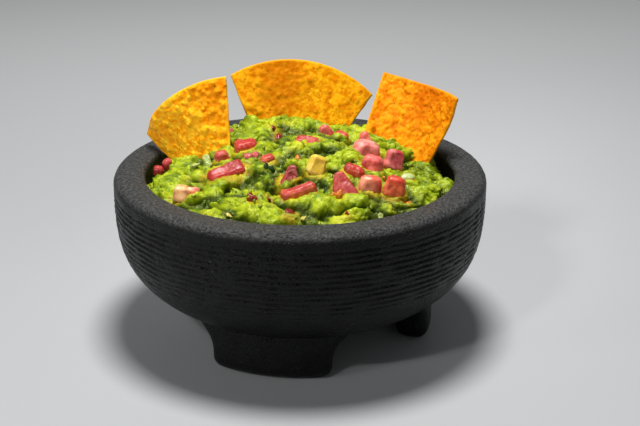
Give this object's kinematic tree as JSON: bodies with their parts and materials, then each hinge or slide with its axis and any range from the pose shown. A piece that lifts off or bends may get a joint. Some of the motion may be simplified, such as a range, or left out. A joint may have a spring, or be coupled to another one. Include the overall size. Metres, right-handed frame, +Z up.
{
  "type": "guacamole",
  "caption": "Thick round stone bowl on short curved feet, filled with a heap of chunky guacamole, topped with diced tomato, and corn chips stood upright in its back edge.",
  "frame": {"origin": "on the surface the bowl stands on, under the middle of the bowl, which is the centre of the bottom of the bounding box", "axes": "+Z up; -Y is the front, the side with the open face of the heap; +X is to the right seen from the front; the chips stand at the back, towards +Y"},
  "size_m": [0.2, 0.2, 0.1368],
  "materials": {
    "stone": "dark, ringed and finely pitted, matte with a smooth rim",
    "avocado": "moist, lumpy mash",
    "tomato": "wet cut flesh",
    "yellow_tomato": "wet cut flesh",
    "onion": "wet, slightly see-through",
    "chip": "fried, blistered, satin"
  },
  "bodies": {
    "root": {"bowl": "stone", "guacamole": "avocado", "chip_left": "chip", "chip_middle": "chip", "chip_right": "chip", "tomato_01": "tomato", "tomato_02": "tomato", "tomato_03": "tomato", "tomato_04": "tomato", "tomato_05": "tomato", "tomato_06": "tomato", "tomato_07": "tomato", "tomato_08": "tomato", "tomato_09": "tomato", "tomato_10": "tomato", "tomato_11": "tomato", "tomato_12": "tomato", "tomato_13": "tomato", "tomato_14": "tomato", "tomato_15": "tomato", "tomato_16": "tomato", "tomato_17": "tomato", "tomato_18": "tomato", "tomato_19": "tomato", "tomato_20": "tomato", "tomato_yellow": "yellow_tomato", "onion_01": "onion"}
  },
  "joints": []
}
